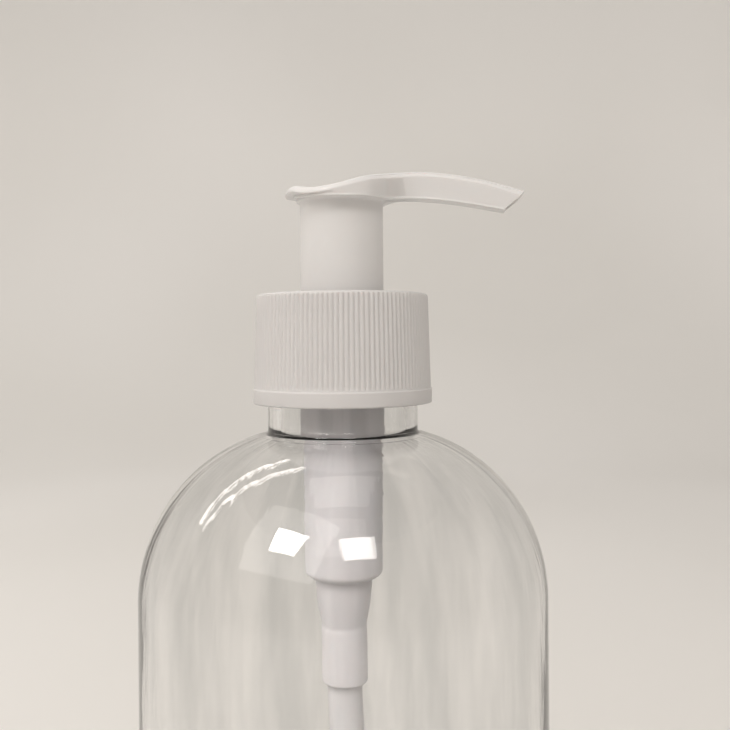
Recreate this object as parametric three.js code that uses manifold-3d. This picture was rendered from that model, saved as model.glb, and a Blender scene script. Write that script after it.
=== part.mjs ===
// A lotion pump on a clear round-shouldered bottle, in millimetres.
// +Z is up, the spout points along +X, and the origin is the centre of the bottle's base.
import * as THREE from 'three';
import { mergeVertices } from 'three/addons/utils/BufferGeometryUtils.js';
import Module from 'manifold-3d';

const wasm = await Module();
wasm.setup();

// ---------------------------------------------------------------- driving dimensions

const FULL_TURN = 2 * Math.PI;
const ROUND_STEPS = 32; // facets on a round piece
const BODY_STEPS = 40; // facets on the bottle
const SMALL_ROUND_STEPS = 16;
const WELD_DISTANCE = 1e-4; // vertices closer than this are one vertex
const OVERSHOOT = 1; // how far a cutting or trimmed solid reaches past the surface that it meets

// Bottle
const BODY_R = 37.5;
const WALL = 0.8;
const HEEL_R = 7;
const RING_IN_R = 28; // inner edge of the flat ring that the bottle stands on
const PUSH_UP = 5; // height of the dished centre of the base
const DISH_POINTS = [[10, 4.4], [20, 2.5], [26, 0.7]]; // the dish between its centre and the ring
const SHOULDER_R = 30.1;
const SHOULDER_Z = 109.8; // where the straight wall turns into the shoulder
const SHOULDER_TOP_ANGLE = THREE.MathUtils.degToRad(74.4);
const NECK_R = 14;
const NECK_FILLET = { reach: 0.45, bottom: 139.45, top: 140.7 };
const NECK_TOP_Z = 146;
const FINISH_R = 12.6;
const FINISH_TOP_Z = 160;
const BORE_R = 11.6;
const BORE_FLARE = { width: 0.6, height: 1 }; // the bore widens where it opens into the shoulder
const LEDGE_SLOPE = 0.8; // height over which the neck slopes in to the finish
const LIP_CHAMFER = 0.3;

// Screw thread, one start, right-handed
const PITCH = 4.233;
const THREAD_TURNS = 1.5;
const THREAD_CREST_R = 13.65;
const THREAD_START_Z = 151.2;
const CAP_THREAD_ROOT_R = 14.6; // reaches into the closure's skirt, so that the two join
const CAP_THREAD_CREST_R = 12.95;
const THREAD_WIDTH = { root: 2.5, crest: 1 };
const CAP_THREAD_WIDTH = { root: 2.9, crest: 1.1 };
const THREAD_STEPS_PER_TURN = 24;
const THREAD_FADE = 0.35; // radians over which a thread grows from its end
const THREAD_END_SHARE = 0.1; // share of its height that a thread has at its end
const JOIN = 0.3; // how far a joined solid reaches into the one that it joins

// Closure
const CAP_TOP_Z = 164.8;
const CAP_BOTTOM_Z = 144.6;
const CAP_TOP_R = 16.05;
const CAP_BOTTOM_R = 16.7;
const CAP_BAND = 2.8; // plain band at the bottom
const CAP_PLATE = 1.4;
const CAP_HOLE_R = 8.8;
const CAP_SKIRT_IN_R = 14.35;
const CAP_EDGE_R = 0.8;
const RIB_COUNT = 112;
const RIB_DEPTH = 0.38;

// Gasket and housing
const GASKET = { inner: 11.2, outer: 13.2, bottom: 160.1, top: 161.1 };
const FLANGE_R = 13;
const FLANGE_BOTTOM_Z = 161.2;
const FLANGE_TOP_Z = 162.4;
const CUP_OUT_R = 10.9;
const CUP_IN_R = 10;
const CUP_BOTTOM_Z = 145;
const CUP_FLOOR_Z = 146.2;
const CHAMBER_TOP_R = 7.8;
const CHAMBER_STEP = { top: 140, bottom: 138 }; // where the chamber narrows
const CHAMBER_OUT_R = 7.35;
const CHAMBER_IN_R = 6.5;
const CHAMBER_FLOOR_Z = 115.3;
const CHAMBER_BOTTOM_Z = 113;
const CHAMBER_CHAMFER = { width: 0.6, height: 0.9 };
const CONE_TOP_R = 5.35;
const CONE_TOP_Z = 111.5;
const CONE_WAIST = { radius: 5.05, z: 107.6 };
const CONE_FILLET = { width: 0.3, height: 0.4 };
const CONE_BOTTOM_R = 4.25;
const CONE_BOTTOM_Z = 103.4;
const BALL_CHAMBER_R = 3.3;
const BALL_KEEPER_R = 2.3;
const BALL_KEEPER_Z = 112.2;
const BALL_KEEPER_HEIGHT = 1;
const SEAT_R = 1.75;
const SEAT_Z = 106;
const SOCKET_TOP_Z = 104.5;
const SOCKET_BOTTOM_Z = 92.6;
const SOCKET_IN_R = 3.35;
const SOCKET_CHAMFER = { width: 0.4, height: 0.8 };
const VENT_R = 0.6;

// Chaplet: stem guide and lock collar in one
const CHAPLET_FLANGE = { radius: 12.6, bottom: 162.5, top: 163.3 };
const SLEEVE_OUT_R = 9.9;
const SLEEVE_IN_R = 8.65;
const CHAPLET_FLOOR = { bottom: 146.4, top: 147.6 };
const PLUG_R = 6.35;
const PLUG_BOTTOM_Z = 143;
const TOWER_R = 5.6;
const TOWER_TOP_Z = 159.2;
const TOWER_CHAMFER = 0.5;
const GUIDE_R = 4;
const LEDGE = { inner: 8.15, bottom: 160.2, top: 161.4, halfAngle: 30 };

// Actuator: head, spout and post skirt in one
const POST_R = 7.8;
const POST_IN_R = 6.8;
const POST_BOTTOM_Z = 162;
const CEILING_Z = 180;
const STEM_SOCKET_OUT_R = 5.2;
const STEM_SOCKET_IN_R = 3.95;
const STEM_SOCKET_BOTTOM_Z = 174;
const PAD_R = 10.5;
const PAD_TOP_Z = 184.1;
const PAD_BOTTOM_Z = 181.8;
const REAR_LIP = { x: -9.5, z: 184.4 };
const DISH_END = { x: 2, z: 184.4 }; // where the thumb dish turns into the arch
const ARCH_TOP = { x: 14.5, z: 186.9 };
const TIP_TOP = { x: 33.8, z: 182.9 };
const TIP_BOTTOM = { x: 30.4, z: 179.5 };
const TIP_HALF_WIDTH = 3;
const UNDERSIDE_START = { x: 7, z: 181.9 }; // where the underside starts to fall to the mouth
// Handles of the head's side curves, as x and z pairs
const DISH_HANDLES = [-5.4, 183.2, -2.2, 183.3];
const RISE_HANDLES = [5.5, 185.4, 9.5, 186.9];
const FALL_HANDLES = [20.5, 186.9, 28, 184.9];
const UNDERSIDE_HANDLES = [22, 181.5, 13, 182.5];
const SIDE_CURVE_STEPS = 10;
const SPOUT_START_X = 7.6; // where the round pad starts to narrow into the spout
const SPOUT_WAIST = { x: 10.7, y: 4 };
const SPOUT_RUN = { x: 14, y: 3.2 };
const FLARE_BOTTOM_Z = 180.4;
const FLARE_POINTS = [[8.3, 181], [10.1, 182.4], [9.9, 182.8]]; // from the post out to the pad
const CHANNEL_R = 1.2;
const CHANNEL_POINTS = [[0, 178.8], [0.6, 181.2], [6, 182.8], [15, 183.7], [25, 182.8], [34, 180]];
const CHANNEL_SIDES = 12;
const CHANNEL_STEPS = 24;
const LUG = { outer: 8.45, height: 1.2, halfAngle: 8, restAngle: -45 };

// Stem, rod and piston
const STEM_R = 3.9;
const STEM_BORE_R = 2.4;
const STEM_TOP_Z = 179.8;
const STEM_END_GAP = 0.1;
const STEM_BOTTOM_Z = 137.2;
const STEM_COLLAR = { radius: 5.2, bottom: 141.5, top: 142.7 };
const ROD_PLUG_R = 2.3;
const ROD_PLUG_TOP_Z = 141;
const ROD_PLUG_CHAMFER = 0.5;
const ROD_FLANGE = { radius: 5, bottom: 134.6, top: 136 };
const ROD_NOSE_R = 3.2;
const ROD_NOSE_CHAMFER = 0.8;
const ROD_NOSE_Z = 132;
const ROD_FLUTES = 3;
const ROD_FLUTE = { width: 1.3, innerR: 1.61, bottom: 136.1 };
const PISTON = {
  bore: 4, lip: 6.45, waist: 5.7, bottom: 136.2, top: 139.8, lipHeight: 0.9, lipSlope: 0.4,
};

// Spring, ball and dip tube
const SPRING = { meanRadius: 4.4, wireRadius: 0.4, bottom: 115.85, top: 134.1, turns: 6.5, endPitch: 0.9 };
const SPRING_SIDES = 6;
const SPRING_STEPS_PER_TURN = 14;
const BALL = { radius: 2.5, z: 107.85 };
const TUBE_OUT_R = 3.25;
const TUBE_IN_R = 2.35;
const TUBE_POINTS = [[0, 104.2], [0, 98], [0, 90], [0.9, 75], [4, 50], [9.5, 25], [15, 6]];
const TUBE_SIDES = 16;
const TUBE_STEPS = 10;
const TUBE_CUT = { x: 13, z: 9.5, angle: THREE.MathUtils.degToRad(30) };

// ---------------------------------------------------------------- helpers

// Points of an arc in the (radius, height) plane, both ends included.
function arc(centreR, centreZ, radius, fromAngle, toAngle, steps) {
  return Array.from({ length: steps + 1 }, (_, i) => {
    const angle = fromAngle + ((toAngle - fromAngle) * i) / steps;
    return [centreR + radius * Math.cos(angle), centreZ + radius * Math.sin(angle)];
  });
}

// A solid of revolution about Z. The profile either closes on itself or ends on the axis.
function turned(profile, steps = ROUND_STEPS) {
  const points = profile.map(([r, z]) => new THREE.Vector2(r, z));
  const onAxis = profile[0][0] === 0 && profile[profile.length - 1][0] === 0;
  if (!onAxis) points.push(points[0].clone());
  const geometry = new THREE.LatheGeometry(points, steps);
  geometry.rotateX(Math.PI / 2);
  return outward(geometry);
}

// A straight ring or tube of revolution.
function ring(innerR, outerR, bottomZ, topZ, steps = ROUND_STEPS) {
  return turned([[innerR, bottomZ], [outerR, bottomZ], [outerR, topZ], [innerR, topZ]], steps);
}

// A straight cylinder of revolution.
function disc(radius, bottomZ, topZ, steps = ROUND_STEPS) {
  return turned([[0, bottomZ], [radius, bottomZ], [radius, topZ], [0, topZ]], steps);
}

// Only positions, with shared vertices merged and no flat triangles.
function welded(geometry) {
  const bare = geometry.clone();
  bare.deleteAttribute('normal');
  bare.deleteAttribute('uv');
  const merged = mergeVertices(bare, WELD_DISTANCE);
  const index = merged.index.array;
  const kept = [];
  for (let i = 0; i < index.length; i += 3) {
    const [a, b, c] = [index[i], index[i + 1], index[i + 2]];
    if (a !== b && b !== c && c !== a) kept.push(a, b, c);
  }
  merged.setIndex(kept);
  return merged;
}

// Turns the faces outwards where the signed volume says that they face inwards.
function outward(geometry) {
  const merged = welded(geometry);
  const position = merged.attributes.position;
  const index = merged.index.array;
  const [a, b, c] = [new THREE.Vector3(), new THREE.Vector3(), new THREE.Vector3()];
  let volume = 0;
  for (let i = 0; i < index.length; i += 3) {
    a.fromBufferAttribute(position, index[i]);
    b.fromBufferAttribute(position, index[i + 1]);
    c.fromBufferAttribute(position, index[i + 2]);
    volume += a.dot(b.cross(c));
  }
  if (volume < 0) {
    for (let i = 0; i < index.length; i += 3) [index[i + 1], index[i + 2]] = [index[i + 2], index[i + 1]];
  }
  return merged;
}

function toSolid(geometry) {
  const merged = outward(geometry);
  return new wasm.Manifold(new wasm.Mesh({
    numProp: 3,
    vertProperties: new Float32Array(merged.attributes.position.array),
    triVerts: new Uint32Array(merged.index.array),
  }));
}

function toGeometry(solid) {
  const { vertProperties, triVerts, numProp } = solid.getMesh();
  const positions = new Float32Array((vertProperties.length / numProp) * 3);
  for (let i = 0; i < positions.length / 3; i += 1) {
    positions.set(vertProperties.subarray(i * numProp, i * numProp + 3), i * 3);
  }
  const geometry = new THREE.BufferGeometry();
  geometry.setAttribute('position', new THREE.BufferAttribute(positions, 3));
  geometry.setIndex(Array.from(triVerts));
  return geometry;
}

// Adds and takes away whole geometries, and gives one geometry back.
function combine(base, added, removed) {
  let solid = toSolid(base);
  for (const geometry of added) solid = solid.add(toSolid(geometry));
  for (const geometry of removed) solid = solid.subtract(toSolid(geometry));
  return toGeometry(solid);
}

function shapeOf(points) {
  return new THREE.Shape(points.map(([x, y]) => new THREE.Vector2(x, y)));
}

function roundShape(radius) {
  const shape = new THREE.Shape();
  shape.absarc(0, 0, radius, 0, FULL_TURN, false);
  return shape;
}

// A smooth curve through points of the XZ plane.
function routeThrough(points) {
  return new THREE.CatmullRomCurve3(points.map(([x, z]) => new THREE.Vector3(x, 0, z)));
}

// A wedge of a ring, centred on one direction, in degrees.
function ringSector(innerR, outerR, bottomZ, topZ, midAngle, halfAngle) {
  const middle = THREE.MathUtils.degToRad(midAngle);
  const half = THREE.MathUtils.degToRad(halfAngle);
  const sector = new THREE.Shape();
  sector.absarc(0, 0, outerR, middle - half, middle + half, false);
  sector.absarc(0, 0, innerR, middle + half, middle - half, true);
  const geometry = new THREE.ExtrudeGeometry(sector, {
    depth: topZ - bottomZ,
    bevelEnabled: false,
    curveSegments: SMALL_ROUND_STEPS / 2,
  });
  return geometry.translate(0, 0, bottomZ);
}

// A screw ridge: a bar with a trapezoid section, wound round Z. Its ends fade into the root radius.
function threadRidge(rootR, crestR, width, startZ) {
  const section = shapeOf([
    [rootR, -width.root / 2],
    [crestR, -width.crest / 2],
    [crestR, width.crest / 2],
    [rootR, width.root / 2],
  ]);
  const sweep = THREAD_TURNS * FULL_TURN;
  const bar = new THREE.ExtrudeGeometry(section, {
    depth: sweep,
    steps: Math.round(THREAD_TURNS * THREAD_STEPS_PER_TURN),
    bevelEnabled: false,
  });
  const position = bar.attributes.position;
  for (let i = 0; i < position.count; i += 1) {
    const angle = position.getZ(i);
    const fromEnd = Math.min(angle, sweep - angle);
    const fade = Math.min(1, fromEnd / THREAD_FADE + THREAD_END_SHARE);
    const r = rootR + (position.getX(i) - rootR) * fade;
    const z = startZ + (PITCH * angle) / FULL_TURN + position.getY(i);
    position.setXYZ(i, r * Math.cos(angle), r * Math.sin(angle), z);
  }
  return outward(bar);
}

function part(name, geometry, colour, roughness, metalness = 0) {
  const material = new THREE.MeshStandardMaterial({ color: colour, roughness, metalness });
  const mesh = new THREE.Mesh(geometry, material);
  mesh.name = name;
  return mesh;
}

const whitePlastic = (name, geometry) => part(name, geometry, 0xe9e1de, 0.4);
const clearPlastic = (name, geometry) => part(name, geometry, 0xdcd8d2, 0.08);
const milkyPlastic = (name, geometry) => part(name, geometry, 0xe2dedb, 0.45);
const softSeal = (name, geometry) => part(name, geometry, 0xd9dadb, 0.7);
const steel = (name, geometry) => part(name, geometry, 0xb9bcc0, 0.25, 1);

// ---------------------------------------------------------------- pieces

function bottle() {
  const shoulderR = BODY_R - SHOULDER_R;
  const heelCentreR = BODY_R - HEEL_R;
  const outside = [
    [0, PUSH_UP],
    ...DISH_POINTS,
    [RING_IN_R, 0],
    ...arc(heelCentreR, HEEL_R, HEEL_R, -Math.PI / 2, 0, 4),
    ...arc(shoulderR, SHOULDER_Z, SHOULDER_R, 0, SHOULDER_TOP_ANGLE, 9),
    [NECK_R + NECK_FILLET.reach, NECK_FILLET.bottom],
    [NECK_R, NECK_FILLET.top],
    [NECK_R, NECK_TOP_Z],
    [FINISH_R, NECK_TOP_Z + LEDGE_SLOPE],
    [FINISH_R, FINISH_TOP_Z - LIP_CHAMFER],
    [FINISH_R - LIP_CHAMFER, FINISH_TOP_Z],
  ];
  const inside = [
    [BORE_R, FINISH_TOP_Z],
    [BORE_R, SHOULDER_Z + SHOULDER_R],
    [BORE_R + BORE_FLARE.width, SHOULDER_Z + SHOULDER_R - BORE_FLARE.height],
    ...arc(shoulderR, SHOULDER_Z, SHOULDER_R - WALL, SHOULDER_TOP_ANGLE, 0, 8),
    ...arc(heelCentreR, HEEL_R, HEEL_R - WALL, 0, -Math.PI / 2, 4),
    [RING_IN_R, WALL],
    ...DISH_POINTS.map(([r, z]) => [r, z + WALL]).reverse(),
    [0, PUSH_UP + WALL],
  ];
  const ridge = threadRidge(FINISH_R - JOIN, THREAD_CREST_R, THREAD_WIDTH, THREAD_START_Z);
  return clearPlastic('bottle', combine(turned([...outside, ...inside], BODY_STEPS), [ridge], []));
}

// The closure's outer radius at a height.
function capRadius(z) {
  return CAP_TOP_R + ((CAP_TOP_Z - z) / (CAP_TOP_Z - CAP_BOTTOM_Z)) * (CAP_BOTTOM_R - CAP_TOP_R);
}

// The outside of the closure, as a full solid: every other column of its wall is pulled in
// between the plain band and the rounded top edge.
function ribbedBlock() {
  const bandTop = CAP_BOTTOM_Z + CAP_BAND;
  const wallTop = CAP_TOP_Z - CAP_EDGE_R;
  const block = turned([
    [0, CAP_BOTTOM_Z],
    [CAP_BOTTOM_R, CAP_BOTTOM_Z],
    [capRadius(bandTop), bandTop],
    [capRadius(bandTop + RIB_DEPTH), bandTop + RIB_DEPTH],
    [CAP_TOP_R, wallTop],
    [CAP_TOP_R - CAP_EDGE_R, CAP_TOP_Z],
    [0, CAP_TOP_Z],
  ], RIB_COUNT * 2);
  const position = block.attributes.position;
  const columnAngle = FULL_TURN / (RIB_COUNT * 2);
  for (let i = 0; i < position.count; i += 1) {
    const [x, y, z] = [position.getX(i), position.getY(i), position.getZ(i)];
    const column = Math.round(Math.atan2(y, x) / columnAngle);
    const onRibs = z > bandTop + RIB_DEPTH / 2 && z < wallTop + CAP_EDGE_R / 2;
    if (!onRibs || column % 2 === 0) continue;
    const scale = 1 - RIB_DEPTH / Math.hypot(x, y);
    position.setXY(i, x * scale, y * scale);
  }
  return block;
}

function closure() {
  const hollow = disc(CAP_SKIRT_IN_R, CAP_BOTTOM_Z - OVERSHOOT, CAP_TOP_Z - CAP_PLATE);
  const hole = disc(CAP_HOLE_R, CAP_TOP_Z - CAP_PLATE - OVERSHOOT, CAP_TOP_Z + OVERSHOOT);
  const ridge = threadRidge(
    CAP_THREAD_ROOT_R, CAP_THREAD_CREST_R, CAP_THREAD_WIDTH, THREAD_START_Z - PITCH / 2,
  );
  const shell = toSolid(ribbedBlock()).subtract(toSolid(hollow)).subtract(toSolid(hole));
  return whitePlastic('closure', toGeometry(shell.add(toSolid(ridge))));
}

function gasket() {
  return softSeal('gasket', ring(GASKET.inner, GASKET.outer, GASKET.bottom, GASKET.top));
}

function housing() {
  const body = turned([
    [CUP_IN_R, FLANGE_TOP_Z],
    [FLANGE_R, FLANGE_TOP_Z],
    [FLANGE_R, FLANGE_BOTTOM_Z],
    [CUP_OUT_R, FLANGE_BOTTOM_Z],
    [CUP_OUT_R, CUP_BOTTOM_Z],
    [CHAMBER_TOP_R, CUP_BOTTOM_Z],
    [CHAMBER_TOP_R, CHAMBER_STEP.top],
    [CHAMBER_OUT_R, CHAMBER_STEP.bottom],
    [CHAMBER_OUT_R, CHAMBER_BOTTOM_Z],
    [CHAMBER_OUT_R - CHAMBER_CHAMFER.width, CHAMBER_BOTTOM_Z - CHAMBER_CHAMFER.height],
    [CONE_TOP_R + CONE_FILLET.width, CONE_TOP_Z + CONE_FILLET.height],
    [CONE_TOP_R, CONE_TOP_Z],
    [CONE_WAIST.radius, CONE_WAIST.z],
    [CONE_BOTTOM_R, CONE_BOTTOM_Z],
    [CONE_BOTTOM_R, SOCKET_BOTTOM_Z + SOCKET_CHAMFER.height],
    [CONE_BOTTOM_R - SOCKET_CHAMFER.width, SOCKET_BOTTOM_Z],
    [SOCKET_IN_R, SOCKET_BOTTOM_Z],
    [SOCKET_IN_R, SOCKET_TOP_Z],
    [SEAT_R, SOCKET_TOP_Z],
    [SEAT_R, SEAT_Z],
    [BALL_CHAMBER_R, SEAT_Z + BALL_CHAMBER_R - SEAT_R],
    [BALL_CHAMBER_R, BALL_KEEPER_Z],
    [BALL_KEEPER_R, BALL_KEEPER_Z],
    [BALL_KEEPER_R, BALL_KEEPER_Z + BALL_KEEPER_HEIGHT],
    [BALL_CHAMBER_R, BALL_KEEPER_Z + BALL_KEEPER_HEIGHT],
    [BALL_CHAMBER_R, CHAMBER_FLOOR_Z],
    [CHAMBER_IN_R, CHAMBER_FLOOR_Z],
    [CHAMBER_IN_R, CUP_FLOOR_Z],
    [CUP_IN_R, CUP_FLOOR_Z],
  ]);
  const vent = disc(
    VENT_R, CUP_BOTTOM_Z - OVERSHOOT, CUP_FLOOR_Z + OVERSHOOT, SMALL_ROUND_STEPS / 2,
  );
  vent.translate(0, (CUP_IN_R + CHAMBER_TOP_R) / 2, 0);
  return milkyPlastic('housing', combine(body, [], [vent]));
}

function chaplet() {
  const body = turned([
    [CHAPLET_FLANGE.radius, CHAPLET_FLANGE.top],
    [SLEEVE_IN_R, CHAPLET_FLANGE.top],
    [SLEEVE_IN_R, CHAPLET_FLOOR.top],
    [TOWER_R, CHAPLET_FLOOR.top],
    [TOWER_R, TOWER_TOP_Z - TOWER_CHAMFER],
    [TOWER_R - TOWER_CHAMFER, TOWER_TOP_Z],
    [GUIDE_R, TOWER_TOP_Z],
    [GUIDE_R, PLUG_BOTTOM_Z],
    [PLUG_R, PLUG_BOTTOM_Z],
    [PLUG_R, CHAPLET_FLOOR.bottom],
    [SLEEVE_OUT_R, CHAPLET_FLOOR.bottom],
    [SLEEVE_OUT_R, CHAPLET_FLANGE.bottom],
    [CHAPLET_FLANGE.radius, CHAPLET_FLANGE.bottom],
  ]);
  const ledges = [90, 270].map((middle) => ringSector(
    LEDGE.inner, SLEEVE_IN_R + JOIN, LEDGE.bottom, LEDGE.top, middle, LEDGE.halfAngle,
  ));
  return whitePlastic('chaplet', combine(body, ledges, []));
}

// Plan of the head: a round pad that narrows into the spout.
function headPlan() {
  const startAngle = Math.acos(SPOUT_START_X / PAD_R);
  const startY = PAD_R * Math.sin(startAngle);
  const endX = TIP_TOP.x + 2 * OVERSHOOT;
  const plan = new THREE.Shape();
  plan.moveTo(endX, -TIP_HALF_WIDTH);
  plan.lineTo(endX, TIP_HALF_WIDTH);
  plan.bezierCurveTo(SPOUT_RUN.x, SPOUT_RUN.y, SPOUT_WAIST.x, SPOUT_WAIST.y, SPOUT_START_X, startY);
  plan.absarc(0, 0, PAD_R, startAngle, FULL_TURN - startAngle, false);
  plan.bezierCurveTo(SPOUT_WAIST.x, -SPOUT_WAIST.y, SPOUT_RUN.x, -SPOUT_RUN.y, endX, -TIP_HALF_WIDTH);
  const body = new THREE.ExtrudeGeometry(plan, {
    depth: 2 * PAD_R,
    bevelEnabled: false,
    curveSegments: ROUND_STEPS / 2,
  });
  return body.translate(0, 0, PAD_BOTTOM_Z - PAD_R);
}

// Side view of the head: a dished pad, an arched top and a spout cut off at a slant.
function headSide() {
  const rearX = -PAD_R - OVERSHOOT;
  const side = new THREE.Shape();
  side.moveTo(rearX, PAD_TOP_Z);
  side.lineTo(REAR_LIP.x, REAR_LIP.z);
  side.bezierCurveTo(...DISH_HANDLES, DISH_END.x, DISH_END.z);
  side.bezierCurveTo(...RISE_HANDLES, ARCH_TOP.x, ARCH_TOP.z);
  side.bezierCurveTo(...FALL_HANDLES, TIP_TOP.x, TIP_TOP.z);
  side.lineTo(TIP_BOTTOM.x, TIP_BOTTOM.z);
  side.bezierCurveTo(...UNDERSIDE_HANDLES, UNDERSIDE_START.x, UNDERSIDE_START.z);
  side.lineTo(rearX, PAD_BOTTOM_Z);
  side.closePath();
  const width = 4 * PAD_R;
  const body = new THREE.ExtrudeGeometry(side, {
    depth: width,
    bevelEnabled: false,
    curveSegments: SIDE_CURVE_STEPS,
  });
  return body.rotateX(Math.PI / 2).translate(0, width / 2, 0);
}

// The liquid's way from the stem, through the arch, to the slanted mouth.
function spoutChannel() {
  return new THREE.ExtrudeGeometry(roundShape(CHANNEL_R), {
    steps: CHANNEL_STEPS,
    curveSegments: CHANNEL_SIDES / 2,
    extrudePath: routeThrough(CHANNEL_POINTS),
  });
}

function actuator() {
  const head = toSolid(headPlan()).intersect(toSolid(headSide()));
  const post = turned([
    [0, POST_BOTTOM_Z],
    [POST_R, POST_BOTTOM_Z],
    [POST_R, FLARE_BOTTOM_Z],
    ...FLARE_POINTS,
    [0, FLARE_POINTS[FLARE_POINTS.length - 1][1]],
  ]);
  const lugs = [LUG.restAngle, LUG.restAngle + 180].map((middle) => ringSector(
    POST_IN_R + JOIN, LUG.outer, POST_BOTTOM_Z, POST_BOTTOM_Z + LUG.height, middle, LUG.halfAngle,
  ));
  const skirtSpace = turned([
    [0, POST_BOTTOM_Z - OVERSHOOT],
    [POST_IN_R, POST_BOTTOM_Z - OVERSHOOT],
    [POST_IN_R, CEILING_Z],
    [STEM_SOCKET_OUT_R, CEILING_Z],
    [STEM_SOCKET_OUT_R, STEM_SOCKET_BOTTOM_Z],
    [STEM_SOCKET_IN_R, STEM_SOCKET_BOTTOM_Z],
    [STEM_SOCKET_IN_R, STEM_TOP_Z + STEM_END_GAP],
    [0, STEM_TOP_Z + STEM_END_GAP],
  ]);
  let solid = head.add(toSolid(post));
  for (const lug of lugs) solid = solid.add(toSolid(lug));
  solid = solid.subtract(toSolid(skirtSpace)).subtract(toSolid(spoutChannel()));
  return whitePlastic('actuator', toGeometry(solid));
}

function stem() {
  return milkyPlastic('stem', turned([
    [STEM_BORE_R, STEM_BOTTOM_Z],
    [STEM_R, STEM_BOTTOM_Z],
    [STEM_R, STEM_COLLAR.bottom],
    [STEM_COLLAR.radius, STEM_COLLAR.bottom],
    [STEM_COLLAR.radius, STEM_COLLAR.top],
    [STEM_R, STEM_COLLAR.top],
    [STEM_R, STEM_TOP_Z],
    [STEM_BORE_R, STEM_TOP_Z],
  ]));
}

function pistonRod() {
  const body = turned([
    [0, ROD_NOSE_Z],
    [ROD_NOSE_R - ROD_NOSE_CHAMFER, ROD_NOSE_Z],
    [ROD_NOSE_R, ROD_NOSE_Z + ROD_NOSE_CHAMFER],
    [ROD_NOSE_R, ROD_FLANGE.bottom],
    [ROD_FLANGE.radius, ROD_FLANGE.bottom],
    [ROD_FLANGE.radius, ROD_FLANGE.top],
    [ROD_PLUG_R, ROD_FLANGE.top],
    [ROD_PLUG_R, ROD_PLUG_TOP_Z - ROD_PLUG_CHAMFER],
    [ROD_PLUG_R - ROD_PLUG_CHAMFER, ROD_PLUG_TOP_Z],
    [0, ROD_PLUG_TOP_Z],
  ]);
  const fluteHeight = ROD_PLUG_TOP_Z + OVERSHOOT - ROD_FLUTE.bottom;
  const flutes = Array.from({ length: ROD_FLUTES }, (_, i) => {
    const flute = new THREE.BoxGeometry(ROD_PLUG_R, ROD_FLUTE.width, fluteHeight);
    flute.translate(ROD_FLUTE.innerR + ROD_PLUG_R / 2, 0, ROD_FLUTE.bottom + fluteHeight / 2);
    return flute.rotateZ((i / ROD_FLUTES) * FULL_TURN);
  });
  return milkyPlastic('piston_rod', combine(body, [], flutes));
}

function piston() {
  return milkyPlastic('piston', turned([
    [PISTON.bore, PISTON.bottom],
    [PISTON.lip, PISTON.bottom],
    [PISTON.lip, PISTON.bottom + PISTON.lipHeight],
    [PISTON.waist, PISTON.bottom + PISTON.lipHeight + PISTON.lipSlope],
    [PISTON.waist, PISTON.top - PISTON.lipHeight - PISTON.lipSlope],
    [PISTON.lip, PISTON.top - PISTON.lipHeight],
    [PISTON.lip, PISTON.top],
    [PISTON.bore, PISTON.top],
  ]));
}

// A helix of round wire. Its first and last turns lie close, and the turns between them are open.
class SpringPath extends THREE.Curve {
  getPoint(t, target = new THREE.Vector3()) {
    const turn = t * SPRING.turns;
    const openTurns = SPRING.turns - 2;
    const openPitch = (SPRING.top - SPRING.bottom - 2 * SPRING.endPitch) / openTurns;
    const open = THREE.MathUtils.clamp(turn - 1, 0, openTurns);
    const rise = SPRING.endPitch * (turn - open) + openPitch * open;
    const angle = turn * FULL_TURN;
    return target.set(
      SPRING.meanRadius * Math.cos(angle),
      SPRING.meanRadius * Math.sin(angle),
      SPRING.bottom + rise,
    );
  }
}

function returnSpring() {
  return steel('return_spring', outward(new THREE.ExtrudeGeometry(roundShape(SPRING.wireRadius), {
    steps: Math.round(SPRING.turns * SPRING_STEPS_PER_TURN),
    curveSegments: SPRING_SIDES / 2,
    extrudePath: new SpringPath(),
  })));
}

function inletBall() {
  const ball = new THREE.SphereGeometry(BALL.radius, SMALL_ROUND_STEPS, SMALL_ROUND_STEPS / 2);
  ball.rotateX(Math.PI / 2).translate(0, 0, BALL.z);
  return steel('inlet_ball', outward(ball));
}

// The tube hangs straight from its socket, then curls gently and ends in a slanted cut.
function dipTube() {
  const sweep = (radius) => new THREE.ExtrudeGeometry(roundShape(radius), {
    steps: TUBE_STEPS,
    curveSegments: TUBE_SIDES / 2,
    extrudePath: routeThrough(TUBE_POINTS),
  });
  const wide = 4 * TUBE_OUT_R;
  const cut = new THREE.BoxGeometry(2 * wide, 2 * wide, wide);
  cut.translate(0, 0, -wide / 2).rotateY(TUBE_CUT.angle).translate(TUBE_CUT.x, 0, TUBE_CUT.z);
  return milkyPlastic('dip_tube', combine(sweep(TUBE_OUT_R), [], [sweep(TUBE_IN_R), cut]));
}

// ---------------------------------------------------------------- assembly

const dispenser = new THREE.Group();
dispenser.add(
  bottle(),
  closure(),
  gasket(),
  housing(),
  chaplet(),
  actuator(),
  stem(),
  pistonRod(),
  piston(),
  returnSpring(),
  inletBall(),
  dipTube(),
);

export default dispenser;
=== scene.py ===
"""Looks for a clear soap bottle with a white lotion pump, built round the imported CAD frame.

Lengths in this script are millimetres, turned into metres where a mesh or an object is made.
"""
import math

import bmesh
import bpy
from mathutils import Matrix, Quaternion, Vector, noise


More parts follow.
